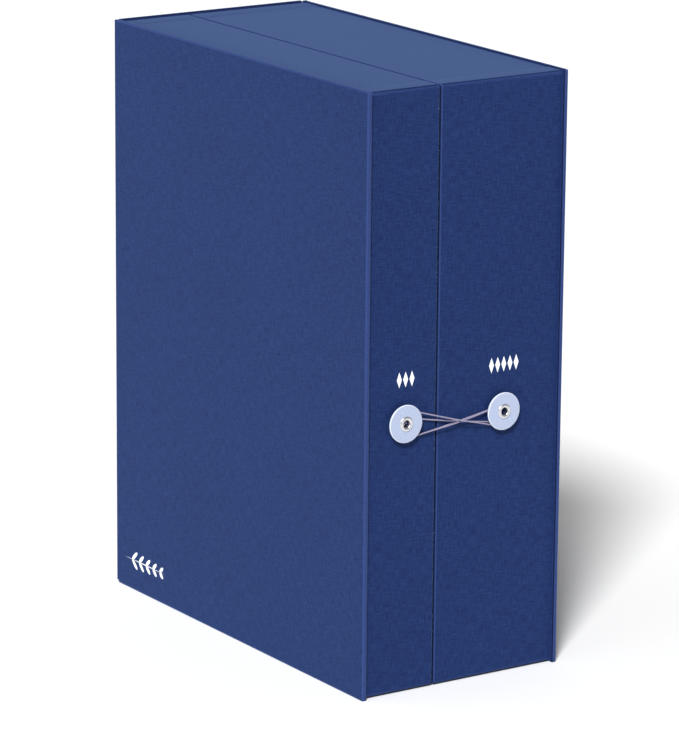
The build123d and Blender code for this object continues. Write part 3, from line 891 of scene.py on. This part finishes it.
def lacquered_fibre():
    """Painted vulcanised fibre: smooth, satin, pale blue, a little mottled, with a painted white highlight on
    the rim's bevel.
    """
    material, tree = new_material("painted_fibre")
    mottle_size = MM / 0.9
    spot = add(tree, "ShaderNodeTexCoord")
    spots = {"Vector": spot.outputs["Object"], "Scale": 1 / mottle_size, "Detail": 4.0}
    mottle = add(tree, "ShaderNodeTexNoise", spots)
    tones = {"Factor": mottle.outputs["Fac"], "A": linear("#9eaac6"), "B": linear("#abb6cf")}
    tone = add(tree, "ShaderNodeMix", tones, data_type="RGBA")
    painted_light_and_wear = add(tree, "ShaderNodeAttribute", attribute_name="painted_light_and_wear")
    # The white on the rim is a painted highlight.
    paler = {"Factor": painted_light_and_wear.outputs["Fac"], "A": tone.outputs["Result"], "B": linear("#e9ebf4")}
    highlight_and_wear = add(tree, "ShaderNodeMix", paler, data_type="RGBA")
    raised = {"Height": mottle.outputs["Fac"], "Strength": 0.15, "Distance": 0.05 * MM}
    relief = add(tree, "ShaderNodeBump", raised)
    surface = {"Base Color": highlight_and_wear.outputs["Result"], "Roughness": 0.42, "Normal": relief.outputs[0]}
    paint = add(tree, "ShaderNodeBsdfPrincipled", surface)
    add(tree, "ShaderNodeOutputMaterial", {"Surface": paint.outputs[0]})
    return material


fibre = lacquered_fibre()


def ring(name, centre, low, high, rim_round):
    """A flat ring between two corners, with the eyelet's bore along Y and rounded rims."""
    bpy.ops.object.select_all(action="DESELECT")
    outer_r = (high[0] - low[0]) / 2
    place = (centre[0], (low[1] + high[1]) / 2, centre[2])
    bpy.ops.mesh.primitive_cylinder_add(
        vertices=96, radius=outer_r, depth=high[1] - low[1], location=place, rotation=(pi / 2, 0, 0))
    piece = bpy.context.object
    piece.name = piece.data.name = name
    bpy.ops.object.transform_apply(location=True, rotation=True, scale=True)
    bpy.ops.object.mode_set(mode="EDIT")
    pick(piece, "faces", lambda middle, normal: abs(normal.y) > 0.9)
    bpy.ops.mesh.inset(thickness=outer_r - BORE_R, use_individual=True)
    bpy.ops.mesh.bridge_edge_loops()

    def rim(middle, run):
        out = Vector((middle.x - centre[0], 0, middle.z - centre[2])).length
        return abs(run.y) < 1e-7 and out > outer_r * 0.97

    pick(piece, "edges", rim)
    bpy.ops.mesh.bevel(offset=rim_round, segments=4, profile=0.5, affect="EDGES")
    mark_painted_light_and_wear(piece, round_about_y=True)
    return piece


for side, body in (("left", "file_half"), ("right", "drawer_half")):
    low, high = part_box(f"{side}_closure_disc")
    centre = [(a + b) / 2 for a, b in zip(low, high)]
    disc = ring(f"{side}_disc", centre, low, high, DISC_RIM)
    finish_piece(disc, fibre, body, smooth_angle=40)
    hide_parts(f"{side}_closure_disc")
    low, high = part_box(f"{side}_disc_spacer")
    spacer = ring(f"{side}_spacer", centre, low, high, SPACER_RIM)
    finish_piece(spacer, fibre, body, smooth_angle=40)
    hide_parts(f"{side}_disc_spacer")

# ---- eyelets -----------------------------------------------------------------------------------------
# Nickel-plated brass eyelets, rolled over in front of each disc and clenched on a washer inside the tray.
EYELET_R = 2.0 * MM  # inside the barrel
CLENCH_FLARE = 1.6  # the clench's radius, of the barrel's inner one
BARREL_SHARE = 0.72  # the barrel's outer radius, of the clench's
CLENCH = 0.5 * MM  # its height
WASHER_RIM = 0.2 * MM


def nickel_plate():
    """Nickel-plated brass: bright, and in fine patches dulled by handling."""
    material, tree = new_material("nickel_plated_brass")
    dull_patch = MM / 1.5
    spot = add(tree, "ShaderNodeTexCoord")
    patches = {"Vector": spot.outputs["Object"], "Scale": 1 / dull_patch, "Detail": 3.0}
    rub = add(tree, "ShaderNodeTexNoise", patches)
    rough = add(tree, "ShaderNodeMapRange", {"Value": rub.outputs["Fac"], "To Min": 0.25, "To Max": 0.4})
    surface = {"Base Color": linear("#dcdce0"), "Metallic": 1.0, "Roughness": rough.outputs[0]}
    metal = add(tree, "ShaderNodeBsdfPrincipled", surface)
    add(tree, "ShaderNodeOutputMaterial", {"Surface": metal.outputs[0]})
    return material


nickel = nickel_plate()
for side, body in (("left", "file_half"), ("right", "drawer_half")):
    low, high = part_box(f"{side}_eyelet")
    disc_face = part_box(f"{side}_closure_disc")[0][1]
    centre = [(a + b) / 2 for a, b in zip(low, high)]
    flange_r = (high[0] - low[0]) / 2
    roll_r = (flange_r - EYELET_R) / 2
    bpy.ops.object.select_all(action="DESELECT")
    bpy.ops.mesh.primitive_torus_add(
        major_radius=(flange_r + EYELET_R) / 2, minor_radius=roll_r, major_segments=64,
        minor_segments=24, location=(centre[0], disc_face, centre[2]), rotation=(pi / 2, 0, 0))
    eyelet = bpy.context.object
    eyelet.name = eyelet.data.name = f"{side}_rolled_eyelet"
    eyelet.scale = (1, 1, (disc_face - low[1]) / roll_r)
    bpy.ops.object.transform_apply(location=True, rotation=True, scale=True)
    bpy.ops.object.mode_set(mode="EDIT")
    pick(eyelet, "verts", lambda v: v.y > disc_face + 0.01 * MM)
    bpy.ops.mesh.delete(type="VERT")

    def bore_edge(middle, run):
        out = Vector((middle.x - centre[0], 0, middle.z - centre[2])).length
        return near(middle.y, disc_face) and near(out, EYELET_R, 0.1 * MM)

    pick(eyelet, "edges", bore_edge)
    clench_middle = (centre[0], high[1], centre[2])
    bpy.ops.mesh.extrude_region_move(TRANSFORM_OT_translate={"value": (0, high[1] - disc_face, 0)})
    bpy.ops.mesh.extrude_region_move()
    bpy.ops.transform.resize(value=(CLENCH_FLARE, 1, CLENCH_FLARE), center_override=clench_middle)
    bpy.ops.mesh.extrude_region_move(TRANSFORM_OT_translate={"value": (0, -CLENCH, 0)})
    bpy.ops.mesh.extrude_region_move()
    bpy.ops.transform.resize(value=(BARREL_SHARE, 1, BARREL_SHARE), center_override=clench_middle)
    bpy.ops.mesh.extrude_region_move(TRANSFORM_OT_translate={"value": (0, disc_face - high[1] + CLENCH, 0)})
    pick(eyelet, "edges", lambda middle, run: near(middle.y, disc_face))
    shape = bmesh.from_edit_mesh(eyelet.data)
    for edge in shape.edges:
        edge.select_set(edge.is_boundary)
    bmesh.update_edit_mesh(eyelet.data)
    bpy.ops.mesh.bridge_edge_loops()
    bpy.ops.mesh.select_all(action="SELECT")
    bpy.ops.mesh.normals_make_consistent(inside=False)
    finish_piece(eyelet, nickel, body, smooth_angle=40)
    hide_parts(f"{side}_eyelet")
    low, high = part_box(f"{side}_eyelet_washer")
    washer = ring(f"{side}_washer", centre, low, high, WASHER_RIM)
    finish_piece(washer, nickel, body, smooth_angle=40)
    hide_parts(f"{side}_eyelet_washer")

# ---- stamped ornaments -------------------------------------------------------------------------------
# White foil pressed into the cloth: a row of slender lozenges above each disc, and a leaf sprig near the
# shallow cover's lower back corner.
FOIL = 0.08 * MM
FOIL_PRESSED = 0.01 * MM  # how far it sinks in the cloth
LOZENGE_PITCH = 4.0 * MM
LOZENGE = (3.1 * MM, 8.4 * MM)
LOZENGE_LEVEL = 172.0 * MM
SPRIG_LENGTH = 42.0 * MM
SPRIG_FROM_BACK = 8.0 * MM
SPRIG_LEVEL = 18.0 * MM
STEM_HALF = 0.3 * MM
LEAF_PAIRS = 5
LEAF_HALF_WIDTH = 1.15 * MM
LEAF_LEAN = radians(48)  # off square to the stem
LONGEST_LEAF = 3.9  # half its length, in millimetres
LEAF_SHRINK = 0.35  # what each pair loses of it


def white_foil():
    """Hot-stamped pigment foil: white, smooth and slightly glossy, and thinner where the weave lies deep."""
    material, tree = new_material("white_stamping_foil")
    thread = MM / 1.8
    spot = add(tree, "ShaderNodeTexCoord")
    threads = {"Vector": spot.outputs["Object"], "Scale": 1 / thread, "Detail": 2.0}
    grain = add(tree, "ShaderNodeTexNoise", threads)
    tones = {"Factor": grain.outputs["Fac"], "A": linear("#e2e6ee"), "B": linear("#ffffff")}
    tone = add(tree, "ShaderNodeMix", tones, data_type="RGBA")
    foil = add(tree, "ShaderNodeBsdfPrincipled", {"Base Color": tone.outputs["Result"], "Roughness": 0.45})
    add(tree, "ShaderNodeOutputMaterial", {"Surface": foil.outputs[0]})
    return material


foil = white_foil()


def foil_shapes(name, shapes):
    """Flat foil shapes in the XY plane, raised a hair: each is a place, half sizes, an angle and corners."""
    bpy.ops.object.select_all(action="DESELECT")
    for i, (x, y, half_long, half_wide, angle, corners) in enumerate(shapes):
        bpy.ops.mesh.primitive_circle_add(
            vertices=corners, radius=half_long, fill_type="NGON", location=(x, y, 0))
        if i == 0:
            piece = bpy.context.object
            piece.name = piece.data.name = name
            bpy.ops.object.transform_apply(location=True, rotation=True, scale=True)
            bpy.ops.object.mode_set(mode="EDIT")
            bpy.ops.mesh.select_all(action="SELECT")
        bpy.ops.transform.resize(value=(half_wide / half_long, 1, 1), center_override=(x, y, 0))
        bpy.ops.transform.rotate(value=-angle, orient_axis="Z", center_override=(x, y, 0))
    bpy.ops.mesh.select_all(action="SELECT")
    bpy.ops.mesh.extrude_region_move(TRANSFORM_OT_translate={"value": (0, 0, FOIL)})
    bpy.ops.mesh.select_all(action="SELECT")
    bpy.ops.mesh.normals_make_consistent(inside=False)
    bpy.ops.object.mode_set(mode="OBJECT")
    return piece


def settle(piece, rotation, place):
    """Turns a piece made in the XY plane to face its wall, and puts its place in its mesh."""
    piece.rotation_euler = rotation
    piece.location = place
    bpy.ops.object.transform_apply(location=True, rotation=True, scale=True)
    bpy.ops.object.mode_set(mode="EDIT")


ROWS = (("left", "file_half", 3, 1.5 * MM), ("right", "drawer_half", 5, 1.6 * MM))
for side, body, count, off_centre in ROWS:
    low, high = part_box(f"{side}_closure_disc")
    row_x = (low[0] + high[0]) / 2 + off_centre
    places = [(i - (count - 1) / 2) * LOZENGE_PITCH for i in range(count)]
    lozenges = foil_shapes(
        f"{side}_lozenges", [(x, 0, LOZENGE[1] / 2, LOZENGE[0] / 2, 0, 4) for x in places])
    settle(lozenges, (pi / 2, 0, 0), (row_x, tray_fore + FOIL_PRESSED, LOZENGE_LEVEL))
    finish_piece(lozenges, foil, body)

leaves = [(0, 0, SPRIG_LENGTH / 2, STEM_HALF, -pi / 2, 4)]
for i in range(LEAF_PAIRS):
    along = (i + 0.7 - LEAF_PAIRS / 2) * SPRIG_LENGTH / (LEAF_PAIRS + 0.6)
    reach = (LONGEST_LEAF - LEAF_SHRINK * i) * MM
    for way in (1, -1):
        x, y = along + reach * sin(LEAF_LEAN) * 0.9, way * reach * cos(LEAF_LEAN) * 0.95
        leaves.append((x, y, reach, LEAF_HALF_WIDTH, -way * LEAF_LEAN, 10))
sprig = foil_shapes("leaf_sprig", leaves)
cover_low, cover_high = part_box("left_cover_board")
sprig_y = cover_high[1] - SPRIG_FROM_BACK - SPRIG_LENGTH / 2
settle(sprig, (pi / 2, 0, -pi / 2), (cover_low[0] + FOIL_PRESSED, sprig_y, SPRIG_LEVEL))
finish_piece(sprig, foil, "file_half")

# ---- stage -------------------------------------------------------------------------------------------
# A white sweep under a white sky, with a small sun from the front left that throws a soft shadow to the
# right and back, and a wide, low one that fills the shallow side.
bpy.ops.object.select_all(action="DESELECT")
bpy.ops.mesh.primitive_plane_add(size=12, location=(0, 0, 0))
floor = bpy.context.object
floor.name = "floor"
floor_material, tree = new_material("white_paper_sweep")
sweep = add(tree, "ShaderNodeBsdfPrincipled", {"Base Color": linear("#ececec"), "Roughness": 0.9})
add(tree, "ShaderNodeOutputMaterial", {"Surface": sweep.outputs[0]})
floor.data.materials.append(floor_material)

world = bpy.data.worlds.new("studio")
bpy.context.scene.world = world
world.use_nodes = True
world.node_tree.nodes["Background"].inputs["Color"].default_value = (1, 1, 1, 1)
world.node_tree.nodes["Background"].inputs["Strength"].default_value = 0.32
bpy.context.scene.view_settings.view_transform = "Standard"


def soft_sun(name, azimuth, elevation, spread, strength):
    """A sun whose azimuth is measured from -X towards -Y, and whose disc is as wide as its spread."""
    light = bpy.data.lights.new(name, "SUN")
    light.angle = spread
    light.energy = strength
    lamp = bpy.data.objects.new(name, light)
    bpy.context.scene.collection.objects.link(lamp)
    towards = Vector((-cos(azimuth) * cos(elevation), -sin(azimuth) * cos(elevation), sin(elevation)))
    lamp.matrix_world = towards.to_track_quat("Z", "Y").to_matrix().to_4x4()


soft_sun("key", azimuth=radians(46), elevation=radians(43), spread=radians(12), strength=4.15)
soft_sun("side_fill", azimuth=radians(-20), elevation=radians(20), spread=radians(80), strength=0.65)
